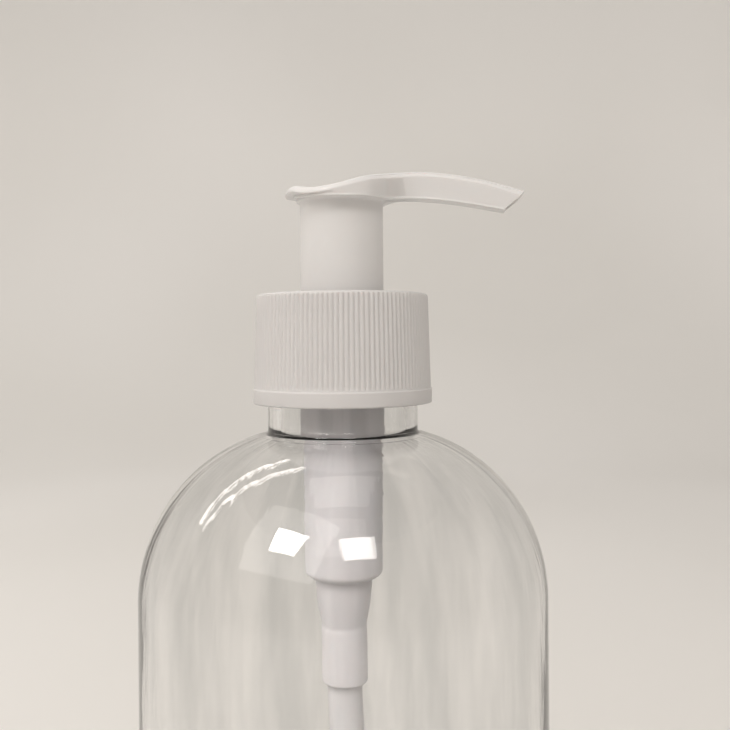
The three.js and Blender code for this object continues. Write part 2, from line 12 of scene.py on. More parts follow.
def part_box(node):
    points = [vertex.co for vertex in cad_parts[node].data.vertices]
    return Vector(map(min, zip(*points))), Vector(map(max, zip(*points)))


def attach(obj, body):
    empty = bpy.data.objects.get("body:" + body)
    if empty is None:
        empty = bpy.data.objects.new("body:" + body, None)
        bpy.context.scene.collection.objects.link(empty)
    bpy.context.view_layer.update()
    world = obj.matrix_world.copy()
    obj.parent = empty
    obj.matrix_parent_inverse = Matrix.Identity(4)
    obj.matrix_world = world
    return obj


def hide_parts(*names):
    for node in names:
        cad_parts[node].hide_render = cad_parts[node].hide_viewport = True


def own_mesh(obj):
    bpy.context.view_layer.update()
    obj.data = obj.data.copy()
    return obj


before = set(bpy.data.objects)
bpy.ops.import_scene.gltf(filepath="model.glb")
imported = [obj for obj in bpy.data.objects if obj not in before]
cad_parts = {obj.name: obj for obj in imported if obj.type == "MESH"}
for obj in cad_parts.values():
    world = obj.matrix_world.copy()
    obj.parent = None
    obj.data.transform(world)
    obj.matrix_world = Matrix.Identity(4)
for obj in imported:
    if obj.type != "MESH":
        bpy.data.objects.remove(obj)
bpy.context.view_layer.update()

MM = 0.001
TURN = 2 * math.pi
STEPS = 128  # columns round an ordinary turned piece
SHARP = math.radians(32)  # edges sharper than this stay hard

# ------------------------------------------------------------------ sizes taken from the frame


def low_mm(node):
    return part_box(node)[0] / MM


def high_mm(node):
    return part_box(node)[1] / MM


BODY_R = high_mm("bottle").x
FINISH_TOP = high_mm("bottle").z
CAP_TOP = high_mm("closure").z
CAP_BOTTOM = low_mm("closure").z
CAP_BOTTOM_R = high_mm("closure").x
PAD_R = high_mm("actuator").y
TIP_X = high_mm("actuator").x
POST_BOTTOM = low_mm("actuator").z
STEM_TOP = high_mm("stem").z
STEM_BOTTOM = low_mm("stem").z

# Bottle
WALL = 0.8
SHOULDER_R = 30.1
SHOULDER_Z = 109.8
SHOULDER_TOP_ANGLE = math.radians(74.4)
HEEL_R = 7.0
NECK_R = 14.0
NECK_TOP = 146.0
FINISH_R = 12.6
BORE_R = 11.6
BASE_DOME_R = 76.5  # the dished centre of the base
BASE_DOME_Z = -71.5
RIM_R = 12.1  # where the outside profile meets the inside one, on top of the neck

# Thread
PITCH = 4.233
THREAD_TURNS = 1.5
THREAD_START = 151.2
THREAD_CREST_R = 13.65
CAP_THREAD_CREST_R = 12.95

# Closure
CAP_TOP_R = 16.05
CAP_BAND = 2.8
CAP_PLATE = 1.4
CAP_HOLE_R = 8.8
CAP_SKIRT_IN_R = 14.35
CAP_EDGE_R = 0.75
RIB_COUNT = 112
RIB_COLUMNS = 6
RIB_DEPTH = 0.27

# Actuator
POST_R = 7.8
POST_IN_R = 6.8
CEILING = 180.0
PAD_TOP = 184.1
PAD_BOTTOM = 181.8
TIP_SLANT = 0.86  # how far the mouth's face leans back for each millimetre down
TIP_HALF_WIDTH = 2.9
ARCH_Z = 186.9
SPOUT_FOOT = 2.2  # half the width of the spout's underside
SPOUT_START_X = 7.6  # where the round pad starts to narrow into the spout
SPOUT_START_REACH = 4.4  # how far the narrowing keeps the pad's own direction
SPOUT_WAIST = (13.2, 3.35)
SPOUT_RUN = (18, 3.2)
UNDERSIDE_START = (7, PAD_BOTTOM + 0.13)  # where the underside starts to fall to the mouth
STEM_SOCKET_OUT_R = 5.2
STEM_SOCKET_IN_R = 3.95
STEM_SOCKET_BOTTOM = 174.0
LUG_ANGLE = 135
LUG_HALF_ANGLE = 8
LUG_DEPTH = 0.5
LUG_TOP = POST_BOTTOM + 1.25
# The head's upper edge as (inset, drop) pairs, from its top face out to its side
PAD_RIM = [(2.6, 0.0), (1.6, 0.0), (1.0, 0.02), (0.72, 0.08), (0.45, 0.22), (0.28, 0.38),
           (0.16, 0.54), (0.07, 0.74), (0.0, 0.9), (0.0, 1.15)]
SPOUT_RIM = [(2.6, 0.0), (1.6, 0.0), (1.0, 0.03), (0.76, 0.1), (0.45, 0.34), (0.47, 0.42),
             (0.36, 0.48), (0.1, 0.82), (0.0, 0.94), (0.0, 1.15)]
# Its lower edge as (inset, lift) pairs, from the side in to the underside
HEAD_FOOT = [(-0.06, 0.5), (-0.07, 0.3), (-0.12, 0.18), (-0.04, 0.03), (0.1, 0.0), (0.4, 0.0)]
HEAD_COLUMNS = 14  # faces across the head's top

# Housing
FLANGE_R = 13
FLANGE_TOP = 162.4
FLANGE_BOTTOM = 161.2
CUP_OUT_R = 10.9
CUP_IN_R = 10
CUP_BOTTOM = 145
CUP_FLOOR = 146.2
CHAMBER_TOP_R = 7.8
CHAMBER_OUT_R = 7.35
CHAMBER_IN_R = 6.5
CHAMBER_STEP_TOP = 139.6  # where the chamber narrows
CHAMBER_STEP_BOTTOM = 138.2
CHAMBER_BOTTOM = 112.9
CHAMBER_FLOOR = 115.3
CONE = [(6.3, 112.1, 0.4), (5.45, 111.9, 0.3), (5.35, 111.0, 0.3), (5.1, 107.4, 2.0),
        (4.3, 103.6, 0.5), (4.22, 103.0, 0.3), (4.32, 102.4, 0.3)]  # chamber down to the socket
SOCKET_OUT_R = 4.35
SOCKET_IN_R = 3.35
SOCKET_TOP = 104.5
SOCKET_BOTTOM = 92.6
SEAT_R = 1.75
SEAT_Z = 106
BALL_CHAMBER_R = 3.3
BALL_CHAMBER_Z = 107.55  # where the seat's cone meets the chamber
KEEPER_R = 2.3
KEEPER_BOTTOM = 112.2
KEEPER_TOP = 113.2
VENT_R = 0.6
VENT_Y = 8.9
VENT_TOP = 147

# Chaplet
CHAPLET_R = 12.6
CHAPLET_TOP = 163.3
CHAPLET_BOTTOM = 162.5  # underside of its flange
SLEEVE_IN_R = 8.65
SLEEVE_OUT_R = 9.9
SLEEVE_FLOOR = 147.6
SLEEVE_BOTTOM = 146.4
TOWER_R = 5.6
TOWER_TOP = 159.2
GUIDE_R = 4.0
PLUG_R = 6.35
PLUG_BOTTOM = 143
LEDGE_TOP = 161.4
LEDGE_BOTTOM = 160.2
LEDGE_DEPTH = 0.5
LEDGE_HALF_ANGLE = 30

# Gasket
GASKET_IN_R = 11.2
GASKET_OUT_R = 13.2
GASKET_BOTTOM = 160.1
GASKET_TOP = 161.1

# Stem, rod and piston
STEM_R = 3.9
STEM_BORE_R = 2.4
COLLAR_R = 5.2
COLLAR_TOP = 142.7
COLLAR_BOTTOM = 141.5
ROD_NOSE_R = 3.2
ROD_NOSE_Z = 132
ROD_FLANGE_R = 5.0
ROD_FLANGE_TOP = 136
ROD_FLANGE_BOTTOM = 134.6
ROD_PLUG_R = 2.3
ROD_PLUG_TOP = 141
FLUTE_R = 1.6
FLUTE_BOTTOM = 136.3
FLUTE_HALF_ANGLE = 17
PISTON_BORE_R = 4.0
PISTON_LIP_R = 6.45
PISTON_WAIST_R = 5.7
PISTON_TOP = 139.8
PISTON_BOTTOM = 136.2
PISTON_LIP_HEIGHT = 0.9
PISTON_LIP_SLOPE = 0.4

# Spring and dip tube
WIRE_R = 0.4
WIRE_SIDES = 12
COIL_R = 4.4
COIL_TURNS = 6.5
END_PITCH = 0.9  # rise of the first turn and of the last
TUBE_OUT_R = 3.3
TUBE_IN_R = 2.35
TUBE_CUT = math.radians(30)
TUBE_KNOTS = [(0, 104.2), (0, 98), (0, 90), (0.9, 75), (4, 50), (9.5, 25), (15, 9)]

# ------------------------------------------------------------------ mesh helpers


def mesh_object(name, vertices, faces):
    """A smooth, welded mesh object from millimetre vertices."""
    mesh = bpy.data.meshes.new(name)
    mesh.from_pydata([(x * MM, y * MM, z * MM) for x, y, z in vertices], [], tidy_faces(faces, vertices))
    bm = bmesh.new()
    bm.from_mesh(mesh)
    bmesh.ops.remove_doubles(bm, verts=bm.verts, dist=1e-7)
    bmesh.ops.recalc_face_normals(bm, faces=bm.faces)
    for face in bm.faces:
        face.smooth = True
    bm.to_mesh(mesh)
    bm.free()
    mesh.set_sharp_from_angle(angle=SHARP)
    obj = bpy.data.objects.new(name, mesh)
    bpy.context.scene.collection.objects.link(obj)
    return obj


def arc(centre_r, centre_z, radius, start, end, count):
    """Points of an arc in the (radius, height) plane, angles in radians."""
    angles = [start + (end - start) * i / count for i in range(count + 1)]
    return [(centre_r + radius * math.cos(a), centre_z + radius * math.sin(a)) for a in angles]


def line(start, end, count):
    """Points from start to end, both included."""
    return [
        tuple(a + (b - a) * i / count for a, b in zip(start, end)) for i in range(count + 1)
    ]


def rounded(profile, closed=True, count=5):
    """Replaces each corner that carries a third number by an arc of about that radius."""
    points = []
    size = len(profile)
    for i, corner in enumerate(profile):
        at_end = not closed and i in (0, size - 1)
        if len(corner) == 2 or at_end:
            points.append(tuple(corner[:2]))
            continue
        here = Vector(corner[:2])
        before = Vector(profile[i - 1][:2]) - here
        after = Vector(profile[(i + 1) % size][:2]) - here
        reach = min(corner[2], before.length * 0.49, after.length * 0.49)
        start = here + before.normalized() * reach
        end = here + after.normalized() * reach
        for step in range(count + 1):
            t = step / count
            point = start * (1 - t) ** 2 + here * 2 * t * (1 - t) + end * t**2
            points.append(tuple(point))
    return points


def turned(name, profile, steps=STEPS, closed=True, reshape=None):
    """A profile turned round Z. reshape(row, angle, r, z) may move a point's radius and height."""
    vertices = []
    for column in range(steps):
        angle = TURN * column / steps
        for row, (r, z) in enumerate(profile):
            if reshape:
                r, z = reshape(row, angle, r, z)
            vertices.append((r * math.cos(angle), r * math.sin(angle), z))
    rows = len(profile)
    spans = rows if closed else rows - 1
    faces = []
    for column in range(steps):
        here, there = column * rows, ((column + 1) % steps) * rows
        for row in range(spans):
            above = (row + 1) % rows
            faces.append((here + row, there + row, there + above, here + above))
    return mesh_object(name, vertices, faces)


def tidy_faces(faces, vertices):
    """Drops the repeated corners of faces that touch the axis, and the faces that are nothing but a line."""
    tidy = []
    for face in faces:
        kept = []
        for index in face:
            if all((Vector(vertices[index]) - Vector(vertices[k])).length > 1e-5 for k in kept):
                kept.append(index)
        if len(kept) > 2:
            tidy.append(tuple(kept))
    return tidy


def boolean(obj, other, operation):
    """Joins or cuts obj with other, and removes other."""
    modifier = obj.modifiers.new(operation.lower(), "BOOLEAN")
    modifier.operation = operation
    modifier.solver = "EXACT"
    modifier.object = other
    depsgraph = bpy.context.evaluated_depsgraph_get()
    mesh = bpy.data.meshes.new_from_object(obj.evaluated_get(depsgraph))
    obj.modifiers.clear()
    obj.data = mesh
    bpy.data.objects.remove(other)
    for polygon in mesh.polygons:
        polygon.use_smooth = True
    mesh.set_sharp_from_angle(angle=SHARP)
    return obj


def smoothstep(low, high, value):
    t = min(1.0, max(0.0, (value - low) / (high - low)))
    return t * t * (3 - 2 * t)


def bezier(p0, p1, p2, p3, t):
    """A point of a cubic curve, for points of any size."""
    weights = ((1 - t) ** 3, 3 * t * (1 - t) ** 2, 3 * t * t * (1 - t), t**3)
    return tuple(sum(w * p[k] for w, p in zip(weights, (p0, p1, p2, p3))) for k in range(len(p0)))


def along(curve, x):
    """Height of a polyline of (x, z) points at x."""
    for (x0, z0), (x1, z1) in zip(curve, curve[1:]):
        if x <= x1:
            return z0 + (z1 - z0) * max(0.0, (x - x0) / max(x1 - x0, 1e-9))
    return curve[-1][1]


def swept(name, route, outer_r, inner_r, sides, cut_angle=0.0):
    """A round tube along a route in the XZ plane. Its far end is cut at a slant."""
    vertices, faces = [], []
    count = len(route)
    for i, point in enumerate(route):
        before, after = route[max(i - 1, 0)], route[min(i + 1, count - 1)]
        tangent = (Vector(after) - Vector(before)).normalized()
        side = Vector((0, 1, 0))
        across = side.cross(tangent).normalized()
        for radius in (outer_r, inner_r):
            for k in range(sides):
                angle = TURN * k / sides
                offset = across * math.cos(angle) * radius + side * math.sin(angle) * radius
                lean = tangent * math.tan(cut_angle) * math.cos(angle) * radius
                spot = Vector(point) + offset + (lean if i == count - 1 else Vector())
                vertices.append(tuple(spot))
    ring = 2 * sides
    for i in range(count - 1):
        for shell in (0, sides):
            for k in range(sides):
                a = i * ring + shell + k
                b = i * ring + shell + (k + 1) % sides
                faces.append((a, b, b + ring, a + ring))
    for i in (0, count - 1):
        for k in range(sides):
            a, b = i * ring + k, i * ring + (k + 1) % sides
            faces.append((a, b, b + sides, a + sides))
    return mesh_object(name, vertices, faces)


# ------------------------------------------------------------------ materials


def new_material(name):
    material = bpy.data.materials.new(name)
    material.use_nodes = True
    return material, material.node_tree, material.node_tree.nodes["Principled BSDF"]


def object_noise(tree, scale, detail):
    """Noise that sticks to the piece, with its scale in cycles a metre."""
    place = tree.nodes.new("ShaderNodeTexCoord")
    texture = tree.nodes.new("ShaderNodeTexNoise")
    texture.inputs["Scale"].default_value = scale
    texture.inputs["Detail"].default_value = detail
    tree.links.new(place.outputs["Object"], texture.inputs["Vector"])
    return texture.outputs["Fac"]


def ramp(tree, source, low, high, start=0.35, end=0.65):
    """Colours from low to high."""
    node = tree.nodes.new("ShaderNodeValToRGB")
    node.color_ramp.elements[0].position = start
    node.color_ramp.elements[1].position = end
    node.color_ramp.elements[0].color = (*low, 1)
    node.color_ramp.elements[1].color = (*high, 1)
    tree.links.new(source, node.inputs["Fac"])
    return node.outputs["Color"]


def spread(tree, source, low, high):
    """Numbers from low to high, out of the middle of a noise."""
    node = tree.nodes.new("ShaderNodeMapRange")
    node.inputs["From Min"].default_value = 0.3
    node.inputs["From Max"].default_value = 0.7
    node.inputs["To Min"].default_value = low
    node.inputs["To Max"].default_value = high
    tree.links.new(source, node.inputs["Value"])
    return node.outputs["Result"]


def bump(tree, shader, source, strength, distance):
    node = tree.nodes.new("ShaderNodeBump")
    node.inputs["Strength"].default_value = strength
    node.inputs["Distance"].default_value = distance * MM
    tree.links.new(source, node.inputs["Height"])
    tree.links.new(node.outputs["Normal"], shader.inputs["Normal"])


def moulded_plastic(name, colour, roughness, glow, grain=0.02):
    """Moulded plastic: a slightly uneven tone, a fine satin grain and light that soaks in."""
    material, tree, shader = new_material(name)
    tone = object_noise(tree, 45, 2)
    grain_noise = object_noise(tree, 1800, 4)
    darker = tuple(c * 0.965 for c in colour)
    tree.links.new(ramp(tree, tone, darker, colour), shader.inputs["Base Color"])
    tree.links.new(spread(tree, grain_noise, roughness - 0.05, roughness + 0.07), shader.inputs["Roughness"])
    bump(tree, shader, grain_noise, 0.35, grain)
    shader.inputs["Subsurface Weight"].default_value = glow
    shader.inputs["Subsurface Radius"].default_value = (1.0, 0.85, 0.8)
    shader.inputs["Subsurface Scale"].default_value = 1.2 * MM
    shader.inputs["IOR"].default_value = 1.49
    return material


def streaks(tree, scale, rise):
    """Noise in bands that run up the wall and over the shoulder, as a blown wall has. It also lays painted
    streaks of shade into the clear tint.
    """
    place = tree.nodes.new("ShaderNodeTexCoord")
    split = tree.nodes.new("ShaderNodeSeparateXYZ")
    flat = tree.nodes.new("ShaderNodeCombineXYZ")
    unit = tree.nodes.new("ShaderNodeVectorMath")
    unit.operation = "NORMALIZE"
    lift = tree.nodes.new("ShaderNodeMath")
    lift.operation = "MULTIPLY"
    lift.inputs[1].default_value = rise
    spot = tree.nodes.new("ShaderNodeCombineXYZ")
    sides = tree.nodes.new("ShaderNodeSeparateXYZ")
    texture = tree.nodes.new("ShaderNodeTexNoise")
    texture.inputs["Scale"].default_value = scale
    texture.inputs["Detail"].default_value = 3.0
    link = tree.links.new
    link(place.outputs["Object"], split.inputs["Vector"])
    link(split.outputs["X"], flat.inputs["X"])
    link(split.outputs["Y"], flat.inputs["Y"])
    link(flat.outputs["Vector"], unit.inputs[0])
    link(unit.outputs["Vector"], sides.inputs["Vector"])
    link(sides.outputs["X"], spot.inputs["X"])
    link(sides.outputs["Y"], spot.inputs["Y"])
    link(split.outputs["Z"], lift.inputs[0])
    link(lift.outputs["Value"], spot.inputs["Z"])
    link(spot.outputs["Vector"], texture.inputs["Vector"])
    return texture.outputs["Fac"]


def clear_plastic():
    """Blown PET: clear, glossy, with the faint upright waves of a blown wall in its bump and gloss, and
    darker upright bands painted into its tint as streaks of shade from reflection and refraction. Lamps
    shine through it.
    """
    material, tree, shader = new_material("clear_pet")
    bands = streaks(tree, 5.0, 4.0)
    fine = streaks(tree, 9.0, 6.0)
    # Painted shade: the tint darkens in upright bands, for the streaks that reflection and refraction give a
    # clear wall.
    tint_and_painted_streaks = ramp(tree, bands, (0.865, 0.87, 0.87), (0.975, 0.975, 0.973), 0.4, 0.6)
    tree.links.new(tint_and_painted_streaks, shader.inputs["Base Color"])
    tree.links.new(spread(tree, fine, 0.0, 0.02), shader.inputs["Roughness"])
    bump(tree, shader, fine, 0.12, 0.3)
    shader.inputs["Transmission Weight"].default_value = 1.0
    shader.inputs["IOR"].default_value = 1.5
    rays = tree.nodes.new("ShaderNodeLightPath")
    see_through = tree.nodes.new("ShaderNodeBsdfTransparent")
    see_through.inputs["Color"].default_value = (0.89, 0.89, 0.89, 1)
    mix = tree.nodes.new("ShaderNodeMixShader")
    tree.links.new(rays.outputs["Is Shadow Ray"], mix.inputs["Fac"])
    tree.links.new(shader.outputs["BSDF"], mix.inputs[1])
    tree.links.new(see_through.outputs["BSDF"], mix.inputs[2])
    tree.links.new(mix.outputs["Shader"], tree.nodes["Material Output"].inputs["Surface"])
    return material


def metal(name, colour, roughness, scale):
    material, tree, shader = new_material(name)
    grain_noise = object_noise(tree, scale, 3)
    darker = tuple(c * 0.85 for c in colour)
    tree.links.new(ramp(tree, grain_noise, darker, colour), shader.inputs["Base Color"])
    tree.links.new(spread(tree, grain_noise, roughness * 0.7, roughness * 1.4), shader.inputs["Roughness"])
    bump(tree, shader, grain_noise, 0.2, 0.01)
    shader.inputs["Metallic"].default_value = 1.0
    return material


WHITE = moulded_plastic("white_pp", (0.735, 0.725, 0.722), 0.36, 0.25)
# Painted shade: the closure's white is a darker copy of the pump's white, for the shadows between its ribs.
CLOSURE_WHITE_PAINTED_SHADE = moulded_plastic("closure_pp_painted_shade", (0.655, 0.642, 0.64), 0.42, 0.22)
MILKY = moulded_plastic("milky_pp", (0.69, 0.67, 0.685), 0.38, 0.3)
TUBING = moulded_plastic("milky_pe", (0.67, 0.655, 0.665), 0.42, 0.3)
SEAL = moulded_plastic("seal_foam", (0.74, 0.74, 0.75), 0.7, 0.1, grain=0.08)
PET = clear_plastic()
SPRING_STEEL = metal("spring_steel", (0.60, 0.60, 0.61), 0.22, 900)
BALL_STEEL = metal("ball_steel", (0.78, 0.78, 0.79), 0.08, 400)


def place(obj, node, body, slot, material):
    """Gives a finished piece its material and body, and hides the CAD part named by node. The slot argument
    is not used.
    """
    obj.data.materials.clear()
    obj.data.materials.append(material)
    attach(obj, body)
    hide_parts(node)
    return obj


# ------------------------------------------------------------------ bottle


def thread_height(angle, z, start, root_width, crest_width):
    """How much of a thread's height there is at a point: 1 on the crest, 0 off the thread."""
    best = 0.0
    for turn in range(math.ceil(THREAD_TURNS) + 1):
        wound = angle + turn * TURN
        if not 0 <= wound <= THREAD_TURNS * TURN:
            continue
        away = abs(z - start - PITCH * wound / TURN)
        slope = (root_width / 2 - away) / (root_width / 2 - crest_width / 2)
        ends = min(wound, THREAD_TURNS * TURN - wound) / 0.35
        best = max(best, min(1.0, max(0.0, slope)) * min(1.0, ends))
    return best


def bottle():
    shoulder_in = BODY_R - SHOULDER_R
    heel_in = BODY_R - HEEL_R
    neck_base = SHOULDER_Z + SHOULDER_R - 0.8
    outside = [
        (0, 4.6), (1.6, 4.6), (2.0, 5.0),
        *arc(0, BASE_DOME_Z, BASE_DOME_R, math.radians(88), math.radians(70.6), 10),
        *rounded([(25.4, 0.7), (27.4, 0.0, 1.2), (29, 0.0)], closed=False),
        *arc(heel_in, HEEL_R, HEEL_R, -math.pi / 2, 0, 14),
        *line((BODY_R, HEEL_R + 4), (BODY_R, SHOULDER_Z - 3), 40),
        *arc(shoulder_in, SHOULDER_Z, SHOULDER_R, 0, SHOULDER_TOP_ANGLE, 36),
        *rounded([(15.4, 138.85), (NECK_R, neck_base, 1.3), (NECK_R, 141.5)], closed=False, count=8)[1:],
        *rounded([(NECK_R, 142), (NECK_R, NECK_TOP, 0.5), (FINISH_R, NECK_TOP + 0.5, 0.5),
                  (FINISH_R, NECK_TOP + 1.5)], closed=False)[1:],
        *line((FINISH_R, NECK_TOP + 2), (FINISH_R, FINISH_TOP - 1), 44),
        *rounded([(FINISH_R, FINISH_TOP - 1), (FINISH_R, FINISH_TOP, 0.35), (RIM_R, FINISH_TOP)],
                 closed=False)[1:],
    ]
    inside = [
        *rounded([(RIM_R, FINISH_TOP), (BORE_R, FINISH_TOP, 0.3), (BORE_R, 158)], closed=False)[1:],
        (BORE_R, 150), (BORE_R, 143),
        *rounded([(BORE_R, 142), (BORE_R + 0.2, 139.2, 2.4), (14.2, 138.25), (15.2, 137.95)],
                 closed=False, count=8)[1:],
        *arc(shoulder_in, SHOULDER_Z, SHOULDER_R - WALL, SHOULDER_TOP_ANGLE, 0, 36),
        *line((BODY_R - WALL, SHOULDER_Z - 3), (BODY_R - WALL, HEEL_R + 4), 40),
        *arc(heel_in, HEEL_R, HEEL_R - WALL, 0, -math.pi / 2, 12),
        *rounded([(29, WALL), (27.6, WALL, 1.0), (25.4, 1.7)], closed=False)[1:],
        *arc(0, BASE_DOME_Z, BASE_DOME_R + 1, math.radians(70.8), math.radians(88.5), 10),
        (0, 6.0),
    ]
    first_inner = len(outside)

    def reshape(row, angle, r, z):
        if row < first_inner:
            if FINISH_R - 0.01 < r < FINISH_R + 0.01 and NECK_TOP + 1 < z < FINISH_TOP:
                r += (THREAD_CREST_R - FINISH_R) * thread_height(angle, z, THREAD_START, 2.5, 1.0)
            return r, z
        blown = smoothstep(6, 30, z) * (1 - smoothstep(128, 137, z))
        spot = Vector((math.cos(angle) * 2.6, math.sin(angle) * 2.6, z * 0.022))
        return r + blown * 0.16 * noise.noise(spot), z

    obj = turned("bottle_shell", outside + inside, steps=192, closed=False, reshape=reshape)
    return place(obj, "bottle", "bottle", "clear_pet", PET)


# ------------------------------------------------------------------ closure


def closure():
    band_top = CAP_BOTTOM + CAP_BAND
    wall_bottom_r = CAP_BOTTOM_R - 0.12
    top_r, foot_r = 12, 15.2  # where the outside profile meets the inside one

    def wall_r(z):
        return CAP_TOP_R + (wall_bottom_r - CAP_TOP_R) * (CAP_TOP - z) / (CAP_TOP - CAP_BOTTOM)

    outside = [
        *rounded([(CAP_HOLE_R, CAP_TOP - CAP_PLATE, 0.2), (CAP_HOLE_R, CAP_TOP, 0.35),
                  (top_r, CAP_TOP)], closed=False),
        (CAP_TOP_R - 0.9, CAP_TOP),
        *arc(CAP_TOP_R - CAP_EDGE_R, CAP_TOP - CAP_EDGE_R, CAP_EDGE_R, math.pi / 2, 0, 6),
        *[(wall_r(z), z) for z in (CAP_TOP - 1.2, CAP_TOP - 3, CAP_TOP - 8, band_top + 4,
                                   band_top + 1, band_top + 0.5, band_top + 0.2)],
        *rounded([(wall_r(band_top), band_top + 0.05), (CAP_BOTTOM_R, band_top - 0.15, 0.2),
                  (CAP_BOTTOM_R, CAP_BOTTOM + 1), (CAP_BOTTOM_R, CAP_BOTTOM, 0.4),
                  (foot_r, CAP_BOTTOM)], closed=False),
    ]
    inside = [
        *rounded([(foot_r, CAP_BOTTOM), (CAP_SKIRT_IN_R, CAP_BOTTOM, 0.3),
                  (CAP_SKIRT_IN_R, CAP_BOTTOM + 1)], closed=False)[1:],
        *line((CAP_SKIRT_IN_R, CAP_BOTTOM + 2), (CAP_SKIRT_IN_R, CAP_TOP - 3), 36),
        *rounded([(CAP_SKIRT_IN_R, CAP_TOP - 2.5), (CAP_SKIRT_IN_R, CAP_TOP - CAP_PLATE, 0.4),
                  (top_r, CAP_TOP - CAP_PLATE)], closed=False)[1:],
    ]
    first_inner = len(outside)

    def reshape(row, angle, r, z):
        if row >= first_inner:
            if abs(r - CAP_SKIRT_IN_R) < 0.01:
                start = THREAD_START - PITCH / 2
                r -= (CAP_SKIRT_IN_R - CAP_THREAD_CREST_R) * thread_height(angle, z, start, 2.6, 1.1)
            return r, z
        groove = 1 - abs(math.sin(angle * RIB_COUNT / 2))
        ribbed = smoothstep(band_top + 0.1, band_top + 0.75, z)
        ribbed *= 1 - smoothstep(CAP_TOP - CAP_EDGE_R, CAP_TOP - 0.1, z)
        if r > CAP_TOP_R - 0.8:
            r -= RIB_DEPTH * ribbed * groove
        return r, z

    obj = turned("closure_shell", outside + inside, steps=RIB_COUNT * RIB_COLUMNS, reshape=reshape)
    # The closure wears the darker white, with its painted rib shade.
    return place(obj, "closure", "closure", "white_pp", CLOSURE_WHITE_PAINTED_SHADE)


# ------------------------------------------------------------------ actuator


def head_plan():
    """Half of the head's outline, from the rear point round to the spout's corner."""
    start_angle = math.acos(SPOUT_START_X / PAD_R)
    pad = arc(0, 0, PAD_R, math.pi, start_angle, 56)
    x0, y0 = pad[-1]
    onward = (x0 + SPOUT_START_REACH * math.sin(start_angle), y0 - SPOUT_START_REACH * math.cos(start_angle))
    bend = [bezier((x0, y0), onward, SPOUT_WAIST, SPOUT_RUN, i / 22) for i in range(1, 23)]
    return pad + bend + line(SPOUT_RUN, (TIP_X, TIP_HALF_WIDTH), 20)[1:]


def curve_through(pieces):
    """One polyline through a list of cubic curves."""
    return [bezier(*piece, i / 16) for piece in pieces for i in range(17)]


def head_top_curve():
    """The top edge in side view: rear lip, thumb dish, arch, fall to the mouth."""
    lip = (-PAD_R + 3, PAD_TOP + 0.15)
    dish_end = (2.0, PAD_TOP + 0.3)
    arch = (14.5, ARCH_Z)
    return curve_through([
        ((-PAD_R, PAD_TOP), (-PAD_R + 0.4, PAD_TOP + 0.35), (-PAD_R + 1.6, PAD_TOP + 0.45), lip),
        (lip, (-5.4, PAD_TOP - 0.7), (-2.2, PAD_TOP - 0.7), dish_end),
        (dish_end, (5.5, PAD_TOP + 1.25), (9.5, ARCH_Z), arch),
        (arch, (20.5, ARCH_Z), (28, 184.95), (TIP_X, 183.0)),
    ])


def head_bottom_curve():
    """The bottom edge in side view: level under the pad, then down to the mouth."""
    rear = (-PAD_R, PAD_BOTTOM + 0.8)
    return curve_through([
        (rear, (-6, PAD_BOTTOM + 0.1), (0, PAD_BOTTOM - 0.2), UNDERSIDE_START),
        (UNDERSIDE_START, (12.5, 182.5), (19.5, 182.2), (TIP_X + 1, 178.4)),
    ])


def edge_normal(plan, i):
    """The direction into the head at a point of its outline."""
    if i == 0:
        return Vector((1, 0))
    if i == len(plan) - 1:
        return Vector((0, -1))
    before, after = plan[i - 1], plan[i + 1]
    edge = Vector((after[0] - before[0], after[1] - before[1])).normalized()
    return Vector((edge.y, -edge.x))


def head_station(plan, i, top_curve, bottom_curve):
    """Half a section of the head, from its top face round its side to its underside."""
    x, y = plan[i]
    at_rear = i == 0
    normal = edge_normal(plan, i)
    top = along(top_curve, x)
    on_spout = smoothstep(2, 9, x)
    draft = 0.4 + 1.2 * smoothstep(0, 10, -x) + smoothstep(6, 11, x) * (y - SPOUT_FOOT - 0.4)
    lean = normal.lerp(Vector((0, -1)), smoothstep(2, 8, x)).normalized()
    slant = smoothstep(TIP_X - 9, TIP_X, x) * TIP_SLANT
    foot_x = x - slant * (top - along(bottom_curve, x))
    bottom = along(bottom_curve, foot_x)
    points = []
    for (pad_in, pad_drop), (spout_in, spout_drop) in zip(PAD_RIM, SPOUT_RIM):
        inset = pad_in + (spout_in - pad_in) * on_spout
        drop = pad_drop + (spout_drop - pad_drop) * on_spout
        reach_x = inset if at_rear else min(inset, y * 0.75 + 1e-3)
        points.append((x + normal.x * reach_x - slant * drop,
                       y + normal.y * min(inset, y * 0.75), top - drop))
    for inset, lift in HEAD_FOOT:
        points.append((foot_x + lean.x * (draft + inset) + slant * lift,
                       y + lean.y * (draft + inset), bottom + lift))
    return [(px, 0.0 if at_rear else max(0.0, py), pz) for px, py, pz in points]


def add_grid(lattice, vertices, faces):
    """Adds a sheet of four-sided faces over rows of points."""
    base, width = len(vertices), len(lattice[0])
    for row in lattice:
        vertices.extend(row)
    for i in range(len(lattice) - 1):
        for j in range(width - 1):
            a = base + i * width + j
            faces.append((a, a + 1, a + width + 1, a + width))


def top_crown(x):
    """How far the middle of the top face stands above its edges: dished on the pad."""
    return -0.75 + 1.35 * smoothstep(1, 12, x)


def across_head():
    """Places across the head, from -1 on one side to 1 on the other."""
    return [-1 + 2 * j / HEAD_COLUMNS for j in range(HEAD_COLUMNS + 1)]


def head_face(stations, ring, crown):
    """The sheet across the head at one ring of its stations."""
    lattice = []
    for points in stations:
        x, y, z = points[ring]
        lattice.append([(x, y * w, z + crown(x) * (1 - w * w) * min(1, y / 3)) for w in across_head()])
    return lattice


def mouth_face(end):
    """The slanted face that closes the spout."""
    lattice = []
    for ring, (x, y, z) in enumerate(end):
        crown = top_crown(x) if ring == 0 else 0.0
        lattice.append([(x, y * w, z + crown * (1 - w**2)) for w in across_head()])
    return lattice


